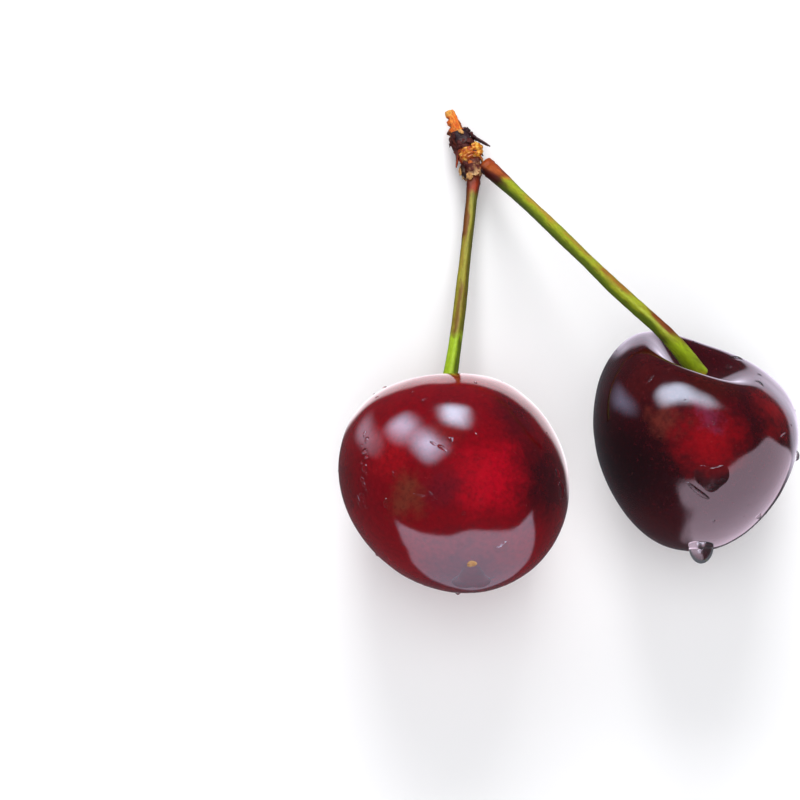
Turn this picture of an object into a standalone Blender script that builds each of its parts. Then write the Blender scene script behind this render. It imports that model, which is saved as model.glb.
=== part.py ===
"""Two sweet cherries that grew on one spur, lying on a flat surface.

Metres, +Z up. The origin is under the middle of the pair, on the surface. The stalks run towards +Y.
Each fruit, stalk, scale and bract is one grown piece, so each is one closed solid.
"""

import math

import bmesh
import bpy
import numpy as np
from mathutils import Vector

MM = 0.001

# The fruits. Each has its own frame: +Z to the stalk, X across the broad face, -Y up when it lies.
# half_width and half_depth are across the stalk's axis, above and below are along it.
# squareness is 2 for a round cross-section and more for one with flatter sides.
# taper widens the shoulders against the tip, shear slides the shoulders sideways.
# The three lifts raise the shoulder at +X, at +Y, and at both +X and -X against both +Y and -Y.
LEFT_FRUIT = {
    "half_width": 13.5,
    "half_depth": 12.5,
    "above": 13.5,
    "below": 13.5,
    "squareness": 2.0,
    "taper": 0.05,
    "shear": -0.1,
    "lift_x": 0.5,
    "lift_y": 0.0,
    "lift_saddle": 1.5,
    "cavity_depth": 5.0,
}
RIGHT_FRUIT = {
    "half_width": 12.0,
    "half_depth": 12.5,
    "above": 12.5,
    "below": 13.5,
    "squareness": 2.5,
    "taper": 0.2,
    "shear": -0.05,
    "lift_x": -4.0,
    "lift_y": -2.0,
    "lift_saddle": 0.5,
    "cavity_depth": 4.5,
}
CAVITY_SPREAD = 0.35
LEFT_PLACE = (-13.5, -17.0)
RIGHT_PLACE = (15.0, -12.0)
LEFT_PITCH, LEFT_HEADING = -20.0, -5.0
RIGHT_PITCH, RIGHT_HEADING = 30.0, 8.0
PRESSED_FLAT = 0.14
FRUIT_SEGMENTS, FRUIT_RINGS = 48, 32

# The stalks. Each stands in its fruit's hollow, leaves it along the fruit's axis, and then passes these
# points on its way to the spur. The diameters are at shares of its length from the fruit.
LEFT_WAY = [(-14.0, -4.0, 8.0), (-13.0, 3.0, 6.5), (-12.0, 12.0, 4.0), (-11.0, 21.0, 2.5)]
RIGHT_WAY = [(14.5, -2.5, 18.0), (11.5, -0.5, 19.5), (5.5, 5.5, 17.5), (-2.0, 14.5, 10.5),
             (-6.0, 19.5, 5.5), (-9.0, 23.0, 2.5)]
LEFT_DIAMETERS = [(0.0, 2.2), (0.1, 1.8), (0.3, 1.6), (0.6, 1.4), (0.9, 1.2), (1.0, 1.6)]
RIGHT_DIAMETERS = [(0.0, 2.2), (0.2, 1.8), (0.5, 1.6), (0.85, 1.6), (1.0, 2.0)]
FOOT_GAP, FOOT_LENGTH = 0.4, 1.0
STALK_STEP = 2.4
STALK_BEVEL = 3

# The spur. Its frame has +Z from the neck to the torn tip, +X to the right, and -Y up.
SPUR_PLACE = (-11.0, 21.5, 2.1)
SPUR_HEADING = -18.0
SPUR_LENGTH = 9.3
SPINE = [(0.0, 0.15), (1.5, 0.35), (3.5, 0.6), (5.0, 0.35), (6.5, 0.05), (9.3, 0.05)]
STUB_RADIUS = [(0.0, 0.0), (0.05, 0.45), (0.25, 0.85), (0.7, 1.0), (1.6, 0.95), (3.4, 1.02), (4.8, 1.0),
               (6.2, 0.9), (7.6, 0.78), (8.8, 0.58), (9.25, 0.4), (9.3, 0.0)]
TONGUE_START, TONGUE_FLATNESS = 5.6, 0.55

# Scales: centre azimuth and half spread in degrees, then height and outer radius at root and tip.
SCALES = {
    "scale_left": (178.0, 40.0, (5.9, 1.32), (2.3, 2.2)),
    "scale_right": (6.0, 26.0, (6.1, 1.42), (3.45, 2.7)),
    "scale_front": (-88.0, 46.0, (6.5, 1.32), (4.7, 1.62)),
    "scale_back": (90.0, 40.0, (5.8, 1.4), (2.6, 2.1)),
    "bract_front": (-78.0, 42.0, (1.75, 1.36), (0.35, 1.52)),
    "bract_left": (-170.0, 34.0, (2.0, 1.3), (0.5, 1.36)),
}
SCALE_THICKNESS = 0.26
SCALE_ROWS, SCALE_COLUMNS = 8, 8

# Plump bases of the inner bracts: centre azimuth, half spread, middle height.
PADS = {"pad_right": (-36.0, 31.0, 3.3), "pad_left": (-104.0, 31.0, 3.3)}
PAD_HALF_HEIGHT, PAD_RADIUS, PAD_HALF_DEPTH = 0.98, 1.63, 0.38
PAD_SEGMENTS, PAD_RINGS = 20, 12

COLOURS = {
    "cherry_left_skin": ((0.22, 0.004, 0.012, 1.0), 0.12),
    "cherry_right_skin": ((0.11, 0.002, 0.008, 1.0), 0.12),
    "stalk_green": ((0.27, 0.32, 0.03, 1.0), 0.45),
    "spur_bark": ((0.26, 0.07, 0.015, 1.0), 0.6),
    "scale_brown": ((0.10, 0.03, 0.02, 1.0), 0.5),
    "pad_amber": ((0.48, 0.20, 0.04, 1.0), 0.35),
}


def clear_scene():
    for thing in list(bpy.data.objects):
        bpy.data.objects.remove(thing, do_unlink=True)


def new_material(name):
    colour, roughness = COLOURS[name]
    material = bpy.data.materials.new(name)
    material.use_nodes = True
    shader = material.node_tree.nodes["Principled BSDF"]
    shader.inputs["Base Color"].default_value = colour
    shader.inputs["Roughness"].default_value = roughness
    shader.inputs["Metallic"].default_value = 0.0
    return material


def add_object(name, data, collection, material):
    thing = bpy.data.objects.new(name, data)
    collection.objects.link(thing)
    data.materials.append(material)
    return thing


def lay_down(thing, place, pitch, heading):
    """Turns the frame's +Z to point pitch degrees above the surface, heading degrees from +Y to +X."""
    thing.location = [value * MM for value in place]
    thing.rotation_euler = (math.radians(pitch - 90), 0.0, math.radians(-heading))


def reshaped_sphere(name, segments, rings, place_point):
    """A UV sphere of unit radius with each point moved by place_point, as a mesh in metres."""
    shape = bmesh.new()
    bmesh.ops.create_uvsphere(shape, u_segments=segments, v_segments=rings, radius=1.0)
    for vertex in shape.verts:
        vertex.co = Vector(place_point(*vertex.co)) * MM
    mesh = bpy.data.meshes.new(name)
    shape.to_mesh(mesh)
    shape.free()
    mesh.shade_smooth()
    return mesh


def fruit_point(x, y, z, fruit):
    """Where the point (x, y, z) of a unit sphere lies on the fruit, in millimetres."""
    across = math.hypot(x, y)
    power = fruit["squareness"]
    corner = (abs(x) ** power + abs(y) ** power) ** (1 / power)
    spread = 1 + fruit["taper"] * z
    if corner > 0:
        spread *= across / corner
    wide = fruit["half_width"] * x * spread
    deep = fruit["half_depth"] * y * spread
    if z > 0:
        lift = fruit["lift_x"] * x + fruit["lift_y"] * y + fruit["lift_saddle"] * (x * x - y * y)
        cavity = math.exp(-((across / CAVITY_SPREAD) ** 3))
        high = fruit["above"] * z + lift * z * z * (1 - cavity) - fruit["cavity_depth"] * cavity
    else:
        high = fruit["below"] * z
    return wide + fruit["shear"] * high, deep, high


def make_fruit(name, fruit, place, pitch, heading, collection, material):
    """Makes the fruit and gives the first two points of the stalk that stands in its hollow."""
    mesh = reshaped_sphere(
        name, FRUIT_SEGMENTS, FRUIT_RINGS, lambda x, y, z: fruit_point(x, y, z, fruit)
    )
    thing = add_object(name, mesh, collection, material)
    lay_down(thing, (*place, 0.0), pitch, heading)
    turn = thing.rotation_euler.to_matrix()
    lowest = min((turn @ vertex.co).z for vertex in mesh.vertices)
    thing.location.z = -lowest - PRESSED_FLAT * MM
    press_flat(mesh, turn, thing.location.z)
    hollow = Vector(fruit_point(0.0, 0.0, 1.0, fruit))
    axis = Vector((0.0, 0.0, 1.0))
    foot = [hollow + axis * FOOT_GAP, hollow + axis * (FOOT_GAP + FOOT_LENGTH)]
    return [thing.location / MM + turn @ point for point in foot]


def press_flat(mesh, turn, height):
    """Cuts the fruit where it bears on the surface, which leaves one small flat face there."""
    down = turn.transposed() @ Vector((0.0, 0.0, -1.0))
    shape = bmesh.new()
    shape.from_mesh(mesh)
    everything = shape.verts[:] + shape.edges[:] + shape.faces[:]
    bmesh.ops.bisect_plane(
        shape,
        geom=everything,
        dist=2e-5,
        plane_co=down * height,
        plane_no=down,
        use_snap_center=True,
        clear_outer=True,
    )
    rim = [edge for edge in shape.edges if edge.is_boundary]
    bmesh.ops.edgeloop_fill(shape, edges=rim)
    bmesh.ops.recalc_face_normals(shape, faces=shape.faces)
    shape.to_mesh(mesh)
    shape.free()


def smooth_route(points, step):
    """Points about step millimetres apart on a smooth curve through the given points."""
    given = [Vector(point) for point in points]
    ends = [2 * given[0] - given[1], *given, 2 * given[-1] - given[-2]]
    fine = []
    for before, start, end, after in zip(ends, ends[1:], ends[2:], ends[3:]):
        count = max(1, round((end - start).length / step))
        for part in range(count):
            t = part / count
            bend = (2 * before - 5 * start + 4 * end - after) * t * t
            twist = (3 * start - before - 3 * end + after) * t**3
            fine.append((2 * start + (end - before) * t + bend + twist) / 2)
    return [*fine, given[-1]]


def make_stalk(name, route, diameters, collection, material):
    points = smooth_route(route, STALK_STEP)
    steps = [(end - start).length for start, end in zip(points, points[1:])]
    along = np.concatenate([[0.0], np.cumsum(steps)]) / sum(steps)
    widths = np.interp(along, *zip(*diameters))
    curve = bpy.data.curves.new(name, "CURVE")
    curve.dimensions = "3D"
    curve.bevel_depth = 0.5 * MM
    curve.bevel_resolution = STALK_BEVEL
    curve.use_fill_caps = True
    spline = curve.splines.new("POLY")
    spline.points.add(len(points) - 1)
    for knot, point, width in zip(spline.points, points, widths):
        knot.co = (*(point * MM), 1.0)
        knot.radius = width
    spline.use_smooth = True
    return add_object(name, curve, collection, material)


def on_spur(azimuth, height, radius, flatness=1.0):
    """A point round the spur's bent spine, in the spur's own frame, in millimetres."""
    spine = float(np.interp(height, *zip(*SPINE)))
    return spine + radius * math.cos(azimuth), radius * math.sin(azimuth) * flatness, height


def stub_point(x, y, z):
    azimuth = math.atan2(y, x)
    height = SPUR_LENGTH * math.acos(max(-1.0, min(1.0, -z))) / math.pi
    radius = float(np.interp(height, *zip(*STUB_RADIUS)))
    lumps = 1 + 0.05 * math.sin(3 * azimuth + 1.7 * height) * math.sin(2.3 * height)
    thin = max(0.0, height - TONGUE_START) / (SPUR_LENGTH - TONGUE_START)
    return on_spur(azimuth, height, radius * lumps, 1 - (1 - TONGUE_FLATNESS) * thin)


def make_stub(collection, material):
    mesh = reshaped_sphere("spur_stub", 24, 30, stub_point)
    return add_object("spur_stub", mesh, collection, material)


def make_pad(name, azimuth, spread, height, collection, material):
    middle, half = math.radians(azimuth), math.radians(spread)

    def pad_point(x, y, z):
        return on_spur(middle - half * x, height + PAD_HALF_HEIGHT * z, PAD_RADIUS + PAD_HALF_DEPTH * y)

    mesh = reshaped_sphere(name, PAD_SEGMENTS, PAD_RINGS, pad_point)
    return add_object(name, mesh, collection, material)


def make_scale(name, azimuth, spread, root, tip, collection, material):
    """A pointed scale: a curved sheet round the spine, given its thickness by Solidify."""
    sheet = bmesh.new()
    bmesh.ops.create_grid(sheet, x_segments=SCALE_COLUMNS, y_segments=SCALE_ROWS, size=1.0)
    for vertex in sheet.verts:
        side, along = vertex.co.x, (vertex.co.y + 1) / 2
        narrowing = math.sqrt(1 - 0.96 * along**2.4)
        angle = math.radians(azimuth - spread * side * narrowing)
        height = root[0] + (tip[0] - root[0]) * along
        radius = root[1] + (tip[1] - root[1]) * along**1.5
        vertex.co = Vector(on_spur(angle, height, radius)) * MM
    mesh = bpy.data.meshes.new(name)
    sheet.to_mesh(mesh)
    sheet.free()
    mesh.shade_smooth()
    thing = add_object(name, mesh, collection, material)
    shell = thing.modifiers.new("thickness", "SOLIDIFY")
    shell.thickness = SCALE_THICKNESS * MM
    shell.offset = -1.0
    return thing


def main():
    clear_scene()
    materials = {name: new_material(name) for name in COLOURS}
    collection = bpy.data.collections.new("cherries_on_stalks")
    bpy.context.scene.collection.children.link(collection)

    left_foot = make_fruit("left_cherry", LEFT_FRUIT, LEFT_PLACE, LEFT_PITCH, LEFT_HEADING,
                           collection, materials["cherry_left_skin"])
    right_foot = make_fruit("right_cherry", RIGHT_FRUIT, RIGHT_PLACE, RIGHT_PITCH, RIGHT_HEADING,
                            collection, materials["cherry_right_skin"])
    make_stalk("left_stalk", left_foot + LEFT_WAY, LEFT_DIAMETERS, collection, materials["stalk_green"])
    make_stalk("right_stalk", right_foot + RIGHT_WAY, RIGHT_DIAMETERS, collection, materials["stalk_green"])

    spur = bpy.data.objects.new("spur", None)
    collection.objects.link(spur)
    lay_down(spur, SPUR_PLACE, 0.0, SPUR_HEADING)
    make_stub(collection, materials["spur_bark"]).parent = spur
    for name, numbers in SCALES.items():
        make_scale(name, *numbers, collection, materials["scale_brown"]).parent = spur
    for name, numbers in PADS.items():
        make_pad(name, *numbers, collection, materials["pad_amber"]).parent = spur


main()
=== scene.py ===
# %% [markdown]
# # Two sweet cherries on one spur
#
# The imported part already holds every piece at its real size: two fruits, two stalks and the woody spur.
# This file gives each piece its fine surface and its finish. Each fine piece is laid over its plain solid
# and stands for it, so the pair keeps its size and its place.
# We start by loading the plain solids, because they tell us where everything is.

# %% Load the plain solids
import math

import bmesh
import bpy
import numpy as np
from mathutils import Euler, Matrix, Vector, noise
from mathutils.bvhtree import BVHTree


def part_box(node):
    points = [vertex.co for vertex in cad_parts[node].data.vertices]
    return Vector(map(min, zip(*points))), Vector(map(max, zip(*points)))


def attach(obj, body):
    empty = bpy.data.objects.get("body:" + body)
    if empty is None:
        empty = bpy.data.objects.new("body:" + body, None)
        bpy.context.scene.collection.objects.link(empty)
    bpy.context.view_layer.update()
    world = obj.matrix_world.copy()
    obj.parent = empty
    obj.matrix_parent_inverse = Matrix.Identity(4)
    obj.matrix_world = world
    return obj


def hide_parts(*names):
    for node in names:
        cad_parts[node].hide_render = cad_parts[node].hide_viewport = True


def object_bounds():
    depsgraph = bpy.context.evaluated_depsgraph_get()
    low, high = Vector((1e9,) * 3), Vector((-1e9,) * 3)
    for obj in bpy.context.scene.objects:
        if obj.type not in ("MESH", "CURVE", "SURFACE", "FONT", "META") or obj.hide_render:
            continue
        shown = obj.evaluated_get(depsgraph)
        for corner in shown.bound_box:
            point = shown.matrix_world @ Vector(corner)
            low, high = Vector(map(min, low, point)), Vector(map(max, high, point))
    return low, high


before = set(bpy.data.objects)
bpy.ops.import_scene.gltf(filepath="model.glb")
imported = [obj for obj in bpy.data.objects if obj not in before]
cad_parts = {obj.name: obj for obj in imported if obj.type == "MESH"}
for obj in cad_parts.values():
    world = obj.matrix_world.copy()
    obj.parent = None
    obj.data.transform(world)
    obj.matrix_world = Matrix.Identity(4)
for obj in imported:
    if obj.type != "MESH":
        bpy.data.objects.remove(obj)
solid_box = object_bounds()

MM = 0.001
print("solids:", ", ".join(sorted(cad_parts)))
print("box in mm:", [round(side / MM, 1) for side in solid_box[1] - solid_box[0]])

# %% [markdown]
# ## Two small helpers for colours and nodes
#
# Colours are easiest to judge as sRGB hex values, but a shader wants linear light, so one function
# turns one into the other. A material is a small graph, and one function adds any kind of node to it:
# the settings are the node's own options and values, the links are what flows into it.

# %% Colours and nodes
def colour(code):
    """The linear colour of an sRGB hex code."""
    shares = [int(code[place:place + 2], 16) / 255 for place in (1, 3, 5)]
    return (*[s / 12.92 if s <= 0.04045 else ((s + 0.055) / 1.055) ** 2.4 for s in shares], 1.0)


def socket(sockets, key):
    """A socket by its number, or the first one in use with that name."""
    return sockets[key] if isinstance(key, int) else next(s for s in sockets if s.name == key and s.enabled)


def add(tree, kind, settings, links=None):
    """Adds a node: its options and values as settings, and what flows into it as links."""
    node = tree.nodes.new("ShaderNode" + kind)
    for key, value in settings.items():
        if isinstance(key, str) and key in node.bl_rna.properties:
            setattr(node, key, value)
        else:
            socket(node.inputs, key).default_value = value
    for key, source in (links or {}).items():
        if isinstance(source, bpy.types.Node):
            source = next(output for output in source.outputs if output.enabled)
        tree.links.new(source, socket(node.inputs, key))
    return node


def new_material(name):
    """An empty material and its node tree."""
    material = bpy.data.materials.new(name)
    material.use_nodes = True
    material.node_tree.nodes.clear()
    return material, material.node_tree


print("crimson in linear light:", [round(share, 3) for share in colour("#A00018")])

# %% [markdown]
# ## The table, the camera and the light
#
# The pair lies on a white table. The camera looks down on it almost from above, with a long lens, so
# that near and far parts keep their proportions. A glossy dark fruit shows little colour of its own:
# most of what the eye sees is the room mirrored in it. So the light has two parts. Three soft lamps light
# the flesh, the stalks and the table, and the gloss gets cards of its own in the next step.

# %% The table
TABLE_SIZE = 4.0
TABLE_WHITE = "#FBFBFC"
TABLE_GRAIN = 2.5

table_mesh = bpy.data.meshes.new("table")
table_shape = bmesh.new()
bmesh.ops.create_grid(table_shape, x_segments=8, y_segments=8, size=TABLE_SIZE / 2)
table_shape.to_mesh(table_mesh)
table_shape.free()
table = bpy.data.objects.new("table", table_mesh)
bpy.context.scene.collection.objects.link(table)
table.visible_glossy = False

# A sheet of matt white laminate. It is smooth, and so matt that it mirrors next to nothing.
laminate, tree = new_material("matt_white_laminate")
grain = add(tree, "TexNoise", {"Scale": 1 / (TABLE_GRAIN * MM), "Detail": 2.0})
bump = add(tree, "Bump", {"Strength": 0.05, "Distance": 0.1 * MM}, {"Height": grain})
matt = {"Base Color": colour(TABLE_WHITE), "Roughness": 0.9, "Specular IOR Level": 0.1}
shader = add(tree, "BsdfPrincipled", matt, {"Normal": bump})
add(tree, "OutputMaterial", {}, {"Surface": shader})
table_mesh.materials.append(laminate)
print("table:", TABLE_SIZE, "m wide")

# %% The camera
AROUND = (solid_box[0] + solid_box[1]) / 2
CAMERA_TILT = math.radians(8)
CAMERA_DISTANCE = 0.45
CAMERA_AIM = Vector((-20.0, -7.5, 2.0)) * MM
CAMERA_LENS, CAMERA_SENSOR = 171.0, 36.0

towards_camera = Vector((0.0, -math.sin(CAMERA_TILT), math.cos(CAMERA_TILT)))
view_up = Vector((0.0, math.cos(CAMERA_TILT), math.sin(CAMERA_TILT)))
camera = bpy.data.objects.new("camera", bpy.data.cameras.new("camera"))
camera.data.lens = CAMERA_LENS
camera.data.sensor_width = CAMERA_SENSOR
camera.data.clip_start = 0.01
camera.location = AROUND + CAMERA_AIM + towards_camera * CAMERA_DISTANCE
camera.rotation_euler = (CAMERA_TILT, 0.0, 0.0)
bpy.context.scene.collection.objects.link(camera)
bpy.context.scene.camera = camera
bpy.context.scene.view_settings.view_transform = "Standard"
print("camera at", [round(value, 4) for value in camera.location])

# %% The lights
# Three soft lamps light the pair. Each: heading from +Y to +X and height above the table in degrees,
# then distance, width and height in metres, and power in watts. The gloss doesn't show them.
LAMPS = {
    "ceiling_light": (0, 90, 0.90, 0.90, 0.90, 5.0),
    "back_softbox": (0, 27, 0.55, 0.30, 0.30, 3.2),
    "front_fill": (180, 30, 0.40, 0.60, 0.36, 1.2),
}


def direction(heading, height):
    """The unit vector at a heading from +Y to +X and a height above the table, in degrees."""
    heading, height = math.radians(heading), math.radians(height)
    flat = Vector((math.sin(heading), math.cos(heading), 0.0))
    return flat * math.cos(height) + Vector((0.0, 0.0, math.sin(height)))


for name, (heading, height, distance, width, tall, watts) in LAMPS.items():
    lamp = bpy.data.lights.new(name, "AREA")
    lamp.shape = "RECTANGLE"
    lamp.size, lamp.size_y = width, tall
    lamp.energy = watts
    light = bpy.data.objects.new(name, lamp)
    light.location = AROUND + direction(heading, height) * distance
    light.rotation_euler = direction(heading, height).to_track_quat("Z", "Y").to_euler()
    light.visible_camera = False
    light.visible_glossy = False
    bpy.context.scene.collection.objects.link(light)
    print(f"{name}: {watts / (math.pi * width * tall):.1f} W per square metre and steradian")

# %% The room
# The camera sees it pale behind the table, and everything else sees it dim.
ROOM_SEEN, ROOM_LIGHT = "#F2F3F5", "#5A5C62"

room = bpy.data.worlds.new("room")
room.use_nodes = True
room.node_tree.nodes.clear()
path = add(room.node_tree, "LightPath", {})
walls = add(room.node_tree, "Mix", {"data_type": "RGBA", "A": colour(ROOM_LIGHT), "B": colour(ROOM_SEEN)},
            {"Factor": path.outputs["Is Camera Ray"]})
sky = add(room.node_tree, "Background", {"Strength": 1.0}, {"Color": walls})
add(room.node_tree, "OutputWorld", {}, {"Surface": sky})
bpy.context.scene.world = room
print("room:", ROOM_SEEN, "seen,", ROOM_LIGHT, "as light")

# %% [markdown]
# ## The cards that the gloss mirrors
#
# A still-life studio shapes a highlight with white cards and softboxes, placed by looking at the fruit and
# not at the lamp. These do the same: each card is a rectangle with round corners, bent round the table like
# a sail, and only mirror reflections see it. Two of them get narrower and dimmer downwards, and their edge
# is wavy. Lighting the flesh and drawing the highlights are then two separate jobs. A real card stands so
# close that only one fruit mirrors it, so each card here is linked to one fruit, and only the brightest to
# its drops too. The table isn't mirrored: cards below it stand for the parts of it that the gloss should
# show. A card fades towards its edge, as a softbox does, and lets the next one shine through, so none cuts
# another off.

# %% The cards
# Each card: who mirrors it, heading and height of its middle, roll, half width and half height in degrees.
# Then the share of its width and brightness that is left at its lower end, how much its edge wavers, how
# far in from the edge it fades in degrees, brightness and tint.
CARDS = {
    "left_softbox": ("left_wet", 0, 25, 0, 16, 20, 1.0, 0.0, 15, 19.0, "#CCE6FF"),
    "left_low_window": ("left_wet", -45, 20, 0, 19, 22, 1.0, 0.0, 19, 12.0, "#CCE0FF"),
    "left_high_window": ("left_wet", -42, 50, 0, 19, 22, 1.0, 0.0, 19, 15.0, "#CCE0FF"),
    "left_strip": ("left_cherry", -64, -12, -20, 13, 32, 1.0, 0.0, 10, 2.6, "#F0E4FF"),
    "left_rim": ("left_cherry", 12, -58, 0, 36, 27, 1.0, 0.0, 6, 2.0, "#FFF4FA"),
    "left_front": ("left_cherry", 172, -12, 0, 88, 54, 0.25, 0.16, 3, 5.0, "#D0CCE6"),
    "right_softbox": ("right_wet", 0, 61, 26, 36, 16, 1.0, 0.0, 12, 16.0, "#DCE8FF"),
    "right_strip": ("right_cherry", -76, 3, -15, 12, 42, 1.0, 0.0, 12, 3.0, "#D0D4FF"),
    "right_rim": ("right_cherry", 32, -60, 0, 43, 22, 1.0, 0.0, 6, 1.4, "#F4E8FF"),
    "right_front": ("right_cherry", 137, -16, 0, 64, 56, 0.5, 0.05, 3, 4.2, "#E2CCE0"),
    "sky_card": ("stalks_and_spur", 0, 60, 0, 50, 30, 1.0, 0.0, 15, 3.0, "#FFFFFF"),
}
# How far off the first card hangs in metres, and how much farther each next one does.
CARD_DISTANCE, CARD_STAGGER = 0.8, 0.01
mirrors = dict.fromkeys(card[0] for card in CARDS.values())
mirrored_by = {name: bpy.data.collections.new("gloss_of_" + name) for name in mirrors}
print("mirrors:", ", ".join(mirrors))

# %% Bending a card
CARD_COLUMNS, CARD_ROWS = 80, 60
# A higher power makes squarer corners. The rate is that of a cosine across the card, in radians.
CORNER_POWER, WAVER_RATE = 3, 6


def bent_card(name, distance, heading, height, roll, half_width, half_height, low_end, waver, softness):
    """The card's mesh, which stores for each point how much of the glow is left there."""
    shape = bmesh.new()
    bmesh.ops.create_grid(shape, x_segments=CARD_COLUMNS, y_segments=CARD_ROWS, size=1.0)
    middle, above = direction(heading, height), direction(heading, height + 90)
    aside = middle.cross(above)
    cos, sin = math.cos(math.radians(roll)), math.sin(math.radians(roll))
    above, aside = above * cos + aside * sin, aside * cos - above * sin
    fades = []
    for vertex in shape.verts:
        x, y = vertex.co.x, vertex.co.y
        share = low_end + (1 - low_end) * (y + 1) / 2
        turn, rise = math.radians(x * half_width * share), math.radians(y * half_height)
        place = (middle * math.cos(rise) + above * math.sin(rise)) * math.cos(turn) + aside * math.sin(turn)
        vertex.co = place * distance
        out = (abs(x) ** CORNER_POWER + abs(y) ** CORNER_POWER) ** (1 / CORNER_POWER)
        out += waver * (1 - math.cos(WAVER_RATE * x)) / 2
        inside = (1 - out) * min(half_width, half_height) / softness
        fades.append(share * max(0.0, min(1.0, inside)))
    mesh = bpy.data.meshes.new(name)
    shape.to_mesh(mesh)
    shape.free()
    mesh.attributes.new("fade", "FLOAT", "POINT").data.foreach_set("value", fades)
    return mesh


print("points in a card:", (CARD_COLUMNS + 1) * (CARD_ROWS + 1))

# %% Lighting and hanging the cards
def card_glow(name, brightness, tint):
    """A glow that fades towards the card's edge, with nothing solid behind it."""
    glow, tree = new_material(name + "_glow")
    fade = add(tree, "Attribute", {"attribute_name": "fade"}).outputs["Fac"]
    shine = add(tree, "MapRange", {"interpolation_type": "SMOOTHSTEP", "To Max": brightness}, {"Value": fade})
    lit = add(tree, "Emission", {"Color": colour(tint)}, {"Strength": shine})
    both = add(tree, "AddShader", {}, {0: lit, 1: add(tree, "BsdfTransparent", {})})
    add(tree, "OutputMaterial", {}, {"Surface": both})
    return glow


for number, (name, (who, *form, brightness, tint)) in enumerate(CARDS.items()):
    mesh = bent_card(name, CARD_DISTANCE + CARD_STAGGER * number, *form)
    mesh.materials.append(card_glow(name, brightness, tint))
    card = bpy.data.objects.new(name, mesh)
    card.location = AROUND
    card.light_linking.receiver_collection = mirrored_by[who]
    bpy.context.scene.collection.objects.link(card)
    for ray in ("camera", "diffuse", "transmission", "volume_scatter", "shadow"):
        setattr(card, "visible_" + ray, False)
print("cards:", ", ".join(CARDS))

# %% [markdown]
# ## The skin of a cherry as a surface
#
# A cherry is a ball that grew round its stalk: wide shoulders, a deep hollow where the stalk sits, and a
# slightly pointed lower end. It could be sculpted by hand, but a formula keeps it exactly on the plain
# solid, so this is the same formula, on a much finer ball. The ball is a cube blown up to a sphere, because
# its faces stay square: a globe with poles would show pinched faces in the gloss right beside the stalk.
# Real skin isn't perfectly even, and that is what makes its highlights wobble, so it also gets low, wide
# waves of a few hundredths of a millimetre.

# %% The fruit's formula
# Millimetres, in the fruit's own frame: +Z to the stalk, X across its broad face, -Y up when it lies.
FRUITS = {
    "left_cherry": {
        "half_width": 13.5, "half_depth": 12.5, "above": 13.5, "below": 13.5, "squareness": 2.0,
        "taper": 0.05, "shear": -0.1, "lift_x": 0.5, "lift_y": 0.0, "lift_saddle": 1.5, "cavity_depth": 5.0,
        "pitch": -20.0, "heading": -5.0, "waves": 0.035, "seed": 3.0,
    },
    "right_cherry": {
        "half_width": 12.0, "half_depth": 12.5, "above": 12.5, "below": 13.5, "squareness": 2.5,
        "taper": 0.2, "shear": -0.05, "lift_x": -4.0, "lift_y": -2.0, "lift_saddle": 0.5, "cavity_depth": 4.5,
        "pitch": 30.0, "heading": 8.0, "waves": 0.03, "seed": 11.0,
    },
}
CAVITY_SPREAD = 0.35
# The ends of the unit sphere: the hollow's bottom under the stalk, and the tip opposite it.
TOP, TIP = np.array([[0.0, 0.0, 1.0]]), np.array([[0.0, 0.0, -1.0]])


def on_fruit(points, fruit):
    """Moves points of a unit sphere onto the fruit, in millimetres."""
    x, y, z = points.T
    power = fruit["squareness"]
    corner = (np.abs(x) ** power + np.abs(y) ** power) ** (1 / power)
    spread = 1 + fruit["taper"] * z
    spread = spread * np.hypot(x, y) / np.maximum(corner, 1e-9)
    wide = fruit["half_width"] * x * spread
    deep = fruit["half_depth"] * y * spread
    cavity = np.exp(-((np.hypot(x, y) / CAVITY_SPREAD) ** 3))
    lift = fruit["lift_x"] * x + fruit["lift_y"] * y + fruit["lift_saddle"] * (x**2 - y**2)
    shoulder = fruit["above"] * z + lift * z**2 * (1 - cavity) - fruit["cavity_depth"] * cavity
    high = np.where(z > 0, shoulder, fruit["below"] * z)
    return np.stack([wide + fruit["shear"] * high, deep, high], axis=1)


for node, fruit in FRUITS.items():
    heights = on_fruit(np.vstack([TIP, TOP]), fruit)[:, 2]
    print(node, "from tip to hollow, in mm:", round(float(heights[1] - heights[0]), 1))

# %% A ball with square faces
SKIN_CUTS = 95


def blown_up_cube(cuts):
    """A cube with that many cuts an edge, blown up to a unit sphere, as a bmesh."""
    ball = bmesh.new()
    bmesh.ops.create_cube(ball, size=2.0)
    bmesh.ops.subdivide_edges(ball, edges=ball.edges, cuts=cuts, use_grid_fill=True)
    for vertex in ball.verts:
        x, y, z = (value * value for value in vertex.co)
        vertex.co.x *= math.sqrt(max(0.0, 1 - y / 2 - z / 2 + y * z / 3))
        vertex.co.y *= math.sqrt(max(0.0, 1 - z / 2 - x / 2 + z * x / 3))
        vertex.co.z *= math.sqrt(max(0.0, 1 - x / 2 - y / 2 + x * y / 3))
        vertex.co.normalize()
    return ball


print("faces of a ball:", 6 * (SKIN_CUTS + 1) ** 2)

# %% Growing the skins
# Length of the skin's low waves in millimetres, how rough they are, and how many sizes of them there are.
WAVE_LENGTH, WAVE_ROUGHNESS, WAVE_SIZES = 4.5, 0.6, 2


def lay_over(thing, node):
    """Puts a turned piece where its plain solid is: same middle seen from above, same top."""
    bpy.context.view_layer.update()
    low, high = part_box(node)
    points = np.array([thing.matrix_world @ vertex.co for vertex in thing.data.vertices])
    mine_low, mine_high = Vector(points.min(0)), Vector(points.max(0))
    shift = (low + high - mine_low - mine_high) / 2
    shift.z = high.z - mine_high.z
    thing.location += shift
    bpy.context.view_layer.update()


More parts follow.
